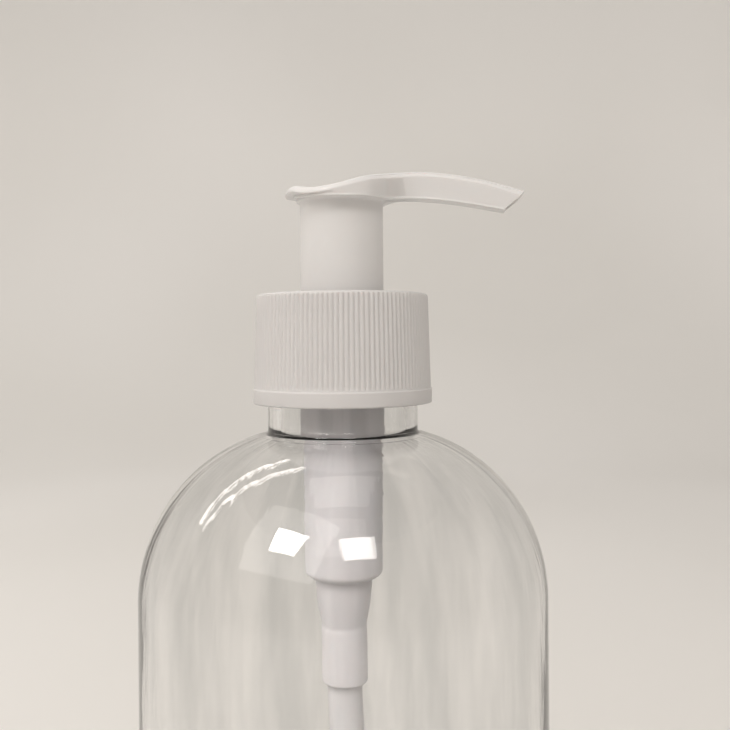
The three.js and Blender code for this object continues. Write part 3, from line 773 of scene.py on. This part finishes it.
def head_body():
    """The head without its post."""
    plan = head_plan()
    curves = head_top_curve(), head_bottom_curve()
    stations = [head_station(plan, i, *curves) for i in range(len(plan))]
    underside = len(SPOUT_RIM) + len(HEAD_FOOT) - 1
    vertices, faces = [], []
    for sign in (1, -1):
        add_grid([[(x, sign * y, z) for x, y, z in points] for points in stations], vertices, faces)
    add_grid(head_face(stations, 0, top_crown), vertices, faces)
    add_grid(head_face(stations, underside, lambda x: 0.0), vertices, faces)
    add_grid(mouth_face(stations[-1]), vertices, faces)
    return mesh_object("actuator_shell", vertices, faces)


def post_body():
    """The round post under the head, with its flare and the two lock lugs."""
    profile = [
        (0, POST_BOTTOM),
        *rounded([(POST_IN_R - 2, POST_BOTTOM), (POST_R, POST_BOTTOM, 0.3), (POST_R, POST_BOTTOM + 1.2),
                  (POST_R, POST_BOTTOM + 1.3), (POST_R, CEILING - 1)], closed=False)[1:],
        *arc(POST_R + 0.6, PAD_BOTTOM - 0.4, 0.6, math.pi, math.pi / 2, 8),
        (POST_R + 0.5, PAD_BOTTOM + 0.7),
        (0, PAD_BOTTOM + 0.7),
    ]

    def reshape(row, angle, r, z):
        on_lug = abs(math.degrees(angle) % 180 - LUG_ANGLE) < LUG_HALF_ANGLE
        if on_lug and r > POST_R - 0.05 and z < LUG_TOP:
            r += LUG_DEPTH
        return r, z

    return turned("post_body", profile, steps=180, closed=False, reshape=reshape)


def skirt_space():
    """The hollow of the post, round the socket that the stem is pressed into."""
    return turned("skirt_space", [
        (0, POST_BOTTOM - 1), (POST_IN_R, POST_BOTTOM - 1), (POST_IN_R, CEILING),
        (STEM_SOCKET_OUT_R, CEILING), (STEM_SOCKET_OUT_R, STEM_SOCKET_BOTTOM),
        (STEM_SOCKET_IN_R, STEM_SOCKET_BOTTOM), (STEM_SOCKET_IN_R, STEM_TOP + 0.1), (0, STEM_TOP + 0.1),
    ], steps=96, closed=False)


def spout_channel():
    """The liquid's way from the stem, through the arch, to the mouth."""
    route = [
        (0, 0, STEM_TOP - 1), (0.3, 0, PAD_BOTTOM - 1.2), (2.2, 0, PAD_BOTTOM - 0.1),
        (6, 0, PAD_BOTTOM + 1), (10, 0, 183.2), (15, 0, 183.7), (20, 0, 183.6), (25, 0, 182.8),
        (29, 0, 181.6), (TIP_X + 1.5, 0, 179.9),
    ]
    return swept("channel", route, 1.25, 0.0, 24)


def actuator():
    head = boolean(head_body(), post_body(), "UNION")
    head = boolean(head, skirt_space(), "DIFFERENCE")
    head = boolean(head, spout_channel(), "DIFFERENCE")
    return place(head, "actuator", "head", "white_pp", WHITE)


# ------------------------------------------------------------------ pump inside


def housing():
    profile = rounded([
        (CUP_IN_R, FLANGE_TOP, 0.2), (FLANGE_R, FLANGE_TOP, 0.3), (FLANGE_R, FLANGE_BOTTOM, 0.3),
        (CUP_OUT_R, FLANGE_BOTTOM, 0.3), (CUP_OUT_R, CUP_BOTTOM, 0.6), (CHAMBER_TOP_R, CUP_BOTTOM, 0.3),
        (CHAMBER_TOP_R, CHAMBER_STEP_TOP, 0.8), (CHAMBER_OUT_R, CHAMBER_STEP_BOTTOM, 0.8),
        (CHAMBER_OUT_R, CHAMBER_BOTTOM, 0.9),
        *CONE,
        (SOCKET_OUT_R, SOCKET_BOTTOM, 0.7), (SOCKET_IN_R, SOCKET_BOTTOM, 0.2),
        (SOCKET_IN_R, SOCKET_TOP), (SEAT_R, SOCKET_TOP), (SEAT_R, SEAT_Z),
        (BALL_CHAMBER_R, BALL_CHAMBER_Z), (BALL_CHAMBER_R, KEEPER_BOTTOM),
        (KEEPER_R, KEEPER_BOTTOM, 0.2), (KEEPER_R, KEEPER_TOP, 0.2), (BALL_CHAMBER_R, KEEPER_TOP),
        (BALL_CHAMBER_R, CHAMBER_FLOOR, 0.2), (CHAMBER_IN_R, CHAMBER_FLOOR, 0.4),
        (CHAMBER_IN_R, CUP_FLOOR, 0.3), (CUP_IN_R, CUP_FLOOR, 0.4),
    ])
    obj = turned("housing_shell", profile)
    below = CUP_BOTTOM - 1
    vent_profile = [(0, below), (VENT_R, below), (VENT_R, VENT_TOP), (0, VENT_TOP)]
    vent = turned("vent", vent_profile, steps=24, closed=False)
    vent.data.transform(Matrix.Translation((0, VENT_Y * MM, 0)))
    return place(boolean(obj, vent, "DIFFERENCE"), "housing", "pump", "milky_pp", MILKY)


def chaplet():
    """The stem's guide, with two ledges that hold the head's lugs up when it is locked."""
    profile = rounded([
        (CHAPLET_R, CHAPLET_TOP, 0.2), (SLEEVE_IN_R, CHAPLET_TOP, 0.25), (SLEEVE_IN_R, LEDGE_TOP + 0.1),
        (SLEEVE_IN_R, LEDGE_TOP), (SLEEVE_IN_R, LEDGE_BOTTOM), (SLEEVE_IN_R, LEDGE_BOTTOM - 0.1),
        (SLEEVE_IN_R, SLEEVE_FLOOR, 0.3), (TOWER_R, SLEEVE_FLOOR, 0.3), (TOWER_R, TOWER_TOP, 0.5),
        (GUIDE_R, TOWER_TOP, 0.2), (GUIDE_R, PLUG_BOTTOM, 0.2), (PLUG_R, PLUG_BOTTOM, 0.3),
        (PLUG_R, SLEEVE_BOTTOM, 0.2), (SLEEVE_OUT_R, SLEEVE_BOTTOM, 0.5),
        (SLEEVE_OUT_R, CHAPLET_BOTTOM, 0.2), (CHAPLET_R, CHAPLET_BOTTOM, 0.2),
    ])

    def reshape(row, angle, r, z):
        on_ledge = abs(math.degrees(angle) % 180 - 90) < LEDGE_HALF_ANGLE
        if on_ledge and abs(r - SLEEVE_IN_R) < 0.01 and LEDGE_BOTTOM - 0.05 < z < LEDGE_TOP + 0.05:
            r -= LEDGE_DEPTH
        return r, z

    obj = turned("chaplet_shell", profile, steps=180, reshape=reshape)
    return place(obj, "chaplet", "pump", "white_pp", WHITE)


def gasket():
    edge = 0.15
    profile = rounded([
        (GASKET_IN_R, GASKET_BOTTOM, edge), (GASKET_OUT_R, GASKET_BOTTOM, edge),
        (GASKET_OUT_R, GASKET_TOP, edge), (GASKET_IN_R, GASKET_TOP, edge),
    ])
    return place(turned("gasket_ring", profile), "gasket", "pump", "seal_foam", SEAL)


def stem():
    profile = rounded([
        (STEM_BORE_R, STEM_BOTTOM, 0.15), (STEM_R, STEM_BOTTOM, 0.2), (STEM_R, COLLAR_BOTTOM, 0.1),
        (COLLAR_R, COLLAR_BOTTOM, 0.2), (COLLAR_R, COLLAR_TOP, 0.2), (STEM_R, COLLAR_TOP, 0.1),
        (STEM_R, STEM_TOP, 0.3), (STEM_BORE_R, STEM_TOP, 0.2),
    ])
    return place(turned("stem_tube", profile), "stem", "head", "milky_pp", MILKY)


def piston_rod():
    """The plug in the stem, with three flutes that let the liquid past."""
    profile = rounded([
        (0, ROD_NOSE_Z), (ROD_NOSE_R, ROD_NOSE_Z, 0.8), (ROD_NOSE_R, ROD_FLANGE_BOTTOM, 0.1),
        (ROD_FLANGE_R, ROD_FLANGE_BOTTOM, 0.2), (ROD_FLANGE_R, ROD_FLANGE_TOP, 0.3),
        (ROD_PLUG_R, ROD_FLANGE_TOP, 0.1), (ROD_PLUG_R, ROD_PLUG_TOP, 0.5), (0, ROD_PLUG_TOP),
    ], closed=False)

    def reshape(row, angle, r, z):
        in_flute = abs((math.degrees(angle) + 60) % 120 - 60) < FLUTE_HALF_ANGLE
        if in_flute and z > FLUTE_BOTTOM and r > FLUTE_R:
            r = FLUTE_R
        return r, z

    obj = turned("rod_plug", profile, closed=False, reshape=reshape)
    return place(obj, "piston_rod", "rod", "milky_pp", MILKY)


def piston():
    """A seal ring with a lip at each end."""
    low_lip, high_lip = PISTON_BOTTOM + PISTON_LIP_HEIGHT, PISTON_TOP - PISTON_LIP_HEIGHT
    profile = rounded([
        (PISTON_BORE_R, PISTON_BOTTOM, 0.2), (PISTON_LIP_R, PISTON_BOTTOM, 0.15),
        (PISTON_LIP_R, low_lip, 0.3), (PISTON_WAIST_R, low_lip + PISTON_LIP_SLOPE, 0.3),
        (PISTON_WAIST_R, high_lip - PISTON_LIP_SLOPE, 0.3), (PISTON_LIP_R, high_lip, 0.3),
        (PISTON_LIP_R, PISTON_TOP, 0.15), (PISTON_BORE_R, PISTON_TOP, 0.2),
    ])
    return place(turned("piston_seal", profile), "piston", "piston", "milky_pe", TUBING)


def inlet_ball():
    low, high = low_mm("inlet_ball").z, high_mm("inlet_ball").z
    radius, centre = (high - low) / 2, (high + low) / 2
    profile = [(max(0.0, r), z) for r, z in arc(0, centre, radius, -math.pi / 2, math.pi / 2, 24)]
    profile[0], profile[-1] = (0, low), (0, high)
    obj = turned("ball", profile, steps=48, closed=False)
    return place(obj, "inlet_ball", "ball", "ball_steel", BALL_STEEL)


def return_spring():
    """A coil of round wire whose end turns lie close."""
    low, high = low_mm("return_spring").z, high_mm("return_spring").z
    bottom, top = low + WIRE_R, high - WIRE_R
    open_turns = COIL_TURNS - 2
    open_pitch = (top - bottom - 2 * END_PITCH) / open_turns
    count = int(COIL_TURNS * 40)
    vertices, faces = [], []
    for i in range(count + 1):
        turn = COIL_TURNS * i / count
        opened = min(open_turns, max(0.0, turn - 1))
        z = bottom + END_PITCH * (turn - opened) + open_pitch * opened
        angle = turn * TURN
        for k in range(WIRE_SIDES):
            around = TURN * k / WIRE_SIDES
            r = COIL_R + WIRE_R * math.cos(around)
            vertices.append((r * math.cos(angle), r * math.sin(angle), z + WIRE_R * math.sin(around)))
    for i in range(count):
        for k in range(WIRE_SIDES):
            a, b = i * WIRE_SIDES + k, i * WIRE_SIDES + (k + 1) % WIRE_SIDES
            faces.append((a, b, b + WIRE_SIDES, a + WIRE_SIDES))
    faces.append(tuple(range(WIRE_SIDES)))
    faces.append(tuple(count * WIRE_SIDES + k for k in range(WIRE_SIDES)))
    obj = mesh_object("coil", vertices, faces)
    place(obj, "return_spring", "pump", "spring_steel", SPRING_STEEL)
    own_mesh(obj)
    return obj


def dip_tube():
    """The tube hangs straight from its socket, then curls gently and ends in a slanted cut."""
    knots = [Vector(knot) for knot in TUBE_KNOTS]
    last = len(knots) - 1
    route = []
    for i in range(last):
        p0, p1, p2, p3 = knots[max(i - 1, 0)], knots[i], knots[i + 1], knots[min(i + 2, last)]
        for step in range(8):
            t = step / 8
            point = 0.5 * ((2 * p1) + (p2 - p0) * t + (2 * p0 - 5 * p1 + 4 * p2 - p3) * t**2
                           + (3 * p1 - p0 - 3 * p2 + p3) * t**3)
            route.append((point.x, 0, point.y))
    route.append((TUBE_KNOTS[-1][0], 0, TUBE_KNOTS[-1][1]))
    obj = swept("tube", route, TUBE_OUT_R, TUBE_IN_R, 48, cut_angle=TUBE_CUT)
    return place(obj, "dip_tube", "pump", "milky_pe", TUBING)


# ------------------------------------------------------------------ camera

VIEW_TURN = math.radians(7)  # the spout comes this much towards the camera
VIEW_DISTANCE = 164.0
VIEW_HEIGHT = 156.6
VIEW_OFFSET = 4.25
VIEW_ROLL = math.radians(0.45)
VIEW_DROP = 0.037


def camera():
    data = bpy.data.cameras.new("camera")
    data.sensor_width = 36
    data.lens = 43.1
    data.shift_y = -VIEW_DROP
    data.clip_start = 0.01
    data.clip_end = 20
    obj = bpy.data.objects.new("camera", data)
    back = Vector((math.sin(VIEW_TURN), -math.cos(VIEW_TURN), 0))
    right = Vector((math.cos(VIEW_TURN), math.sin(VIEW_TURN), 0))
    obj.location = (back * VIEW_DISTANCE + right * VIEW_OFFSET + Vector((0, 0, VIEW_HEIGHT))) * MM
    level = (-back).to_track_quat("-Z", "Y")
    obj.rotation_mode = "QUATERNION"
    obj.rotation_quaternion = level @ Quaternion((0, 0, 1), -VIEW_ROLL)
    bpy.context.scene.collection.objects.link(obj)
    bpy.context.scene.camera = obj


# ------------------------------------------------------------------ studio

# How bright each source is
ROOM = 0.2
PAPER_GLOW_BACK = 0.28
PAPER_GLOW_FRONT = 0.06
WINDOW_RIGHT = 9.0
WINDOW_LEFT = 17.0
SOFT_LEFT = 2.35
SOFT_KEY = 1.25
SOFT_TOP = 1.9
TUBE_LIGHTS = 7.0

WINDOW_SIZE = (280, 245)
WINDOW_ELEVATION = 46
RIGHT_AZIMUTH = 12.6
LEFT_AZIMUTH = -40
SOFT_DISTANCE = 900
SOFT_SIZE = (420, 420)
TUBE_RISE = 650  # height of the tube lights over the object


def backdrop_material():
    """Pale studio paper, a little uneven. It glows as under lamps of its own, most at the back left."""
    material, tree, shader = new_material("studio_paper")
    tone = object_noise(tree, 1.6, 1)
    colour = ramp(tree, tone, (0.69, 0.67, 0.64), (0.75, 0.73, 0.705))
    tree.links.new(colour, shader.inputs["Base Color"])
    tree.links.new(colour, shader.inputs["Emission Color"])
    place = tree.nodes.new("ShaderNodeTexCoord")
    towards = tree.nodes.new("ShaderNodeVectorMath")
    towards.operation = "DOT_PRODUCT"
    towards.inputs[1].default_value = (-0.42, 0.9, -0.1)
    glow = tree.nodes.new("ShaderNodeMapRange")
    glow.inputs["From Min"].default_value = -1.2
    glow.inputs["From Max"].default_value = 1.2
    glow.inputs["To Min"].default_value = PAPER_GLOW_FRONT
    glow.inputs["To Max"].default_value = PAPER_GLOW_BACK
    tree.links.new(place.outputs["Object"], towards.inputs[0])
    tree.links.new(towards.outputs["Value"], glow.inputs["Value"])
    tree.links.new(glow.outputs["Result"], shader.inputs["Emission Strength"])
    shader.inputs["Roughness"].default_value = 0.95
    shader.inputs["Specular IOR Level"].default_value = 0.1
    return material


def studio():
    """A round cove: a flat pale floor that curves up into a wall all round."""
    floor_r, cove_r, wall_top = 900, 500, 1700
    profile = [
        (0, -0.4),
        *line((60, -0.4), (floor_r, -0.4), 6),
        *arc(floor_r, cove_r, cove_r + 0.4, -math.pi / 2, 0, 16)[1:],
        (floor_r + cove_r, wall_top),
    ]
    cove = turned("studio_cove", profile, steps=96, closed=False)
    cove.data.materials.append(backdrop_material())
    cove.data.flip_normals()


def area_light(name, place_mm, size_mm, radiance, colour, aim_mm=(0, 0, 130)):
    """A soft rectangle that lights the scene and shows in the gloss, but not to the camera."""
    light = bpy.data.lights.new(name, "AREA")
    light.shape = "RECTANGLE"
    light.size, light.size_y = size_mm[0] * MM, size_mm[1] * MM
    light.energy = math.pi * light.size * light.size_y * radiance
    light.color = colour
    obj = bpy.data.objects.new(name, light)
    obj.location = Vector(place_mm) * MM
    direction = Vector(aim_mm) - Vector(place_mm)
    obj.rotation_euler = direction.to_track_quat("-Z", "Y").to_euler()
    obj.visible_camera = False
    bpy.context.scene.collection.objects.link(obj)
    return obj


def overhead(side, behind, height):
    """A place given as seen by the camera: to the right, behind the object, and above the table."""
    right = Vector((math.cos(VIEW_TURN), math.sin(VIEW_TURN), 0))
    away = Vector((-math.sin(VIEW_TURN), math.cos(VIEW_TURN), 0))
    return right * side + away * behind + Vector((0, 0, height))


def window_place(azimuth, elevation, distance=1000):
    """Azimuth counts from the camera's side, to the right. Both angles are in degrees."""
    a, e = math.radians(azimuth), math.radians(elevation)
    flat = distance * math.cos(e)
    return overhead(flat * math.sin(a), -flat * math.cos(a), 130 + distance * math.sin(e))


def lights():
    """Two windows and two tubes that show in the gloss, and soft lamps that don't."""
    world = bpy.data.worlds.new("soft_room")
    world.use_nodes = True
    background = world.node_tree.nodes["Background"]
    background.inputs["Color"].default_value = (1.0, 0.955, 0.90, 1)
    background.inputs["Strength"].default_value = ROOM
    bpy.context.scene.world = world
    warm = (1.0, 0.96, 0.92)
    right_place = window_place(RIGHT_AZIMUTH, WINDOW_ELEVATION)
    left_place = window_place(LEFT_AZIMUTH, WINDOW_ELEVATION)
    area_light("window_right", right_place, WINDOW_SIZE, WINDOW_RIGHT, warm)
    left = area_light("window_left", left_place, WINDOW_SIZE, WINDOW_LEFT, warm)
    left.visible_diffuse = False  # soft_left gives its light, with softer shadows
    for name, azimuth, elevation, size, radiance in (
        ("soft_left", LEFT_AZIMUTH, WINDOW_ELEVATION, (700, 700), SOFT_LEFT),
        ("soft_key", 0, 54, SOFT_SIZE, SOFT_KEY),
        ("soft_top", 0, 89, SOFT_SIZE, SOFT_TOP),
    ):
        lamp = area_light(name, window_place(azimuth, elevation, SOFT_DISTANCE), size, radiance, warm)
        lamp.visible_glossy = False
    for behind in (0.40, 0.66):
        spot = overhead(-1.02 * TUBE_RISE, behind * TUBE_RISE, 130 + TUBE_RISE)
        strip = area_light("tube_light", spot, (1.9 * TUBE_RISE, 30), TUBE_LIGHTS, warm)
        strip.rotation_euler = (0, 0, VIEW_TURN)


bpy.context.scene.view_settings.view_transform = "Standard"
camera()
lights()
studio()
bottle()
closure()
gasket()
housing()
chaplet()
actuator()
stem()
piston_rod()
piston()
return_spring()
inlet_ball()
dip_tube()
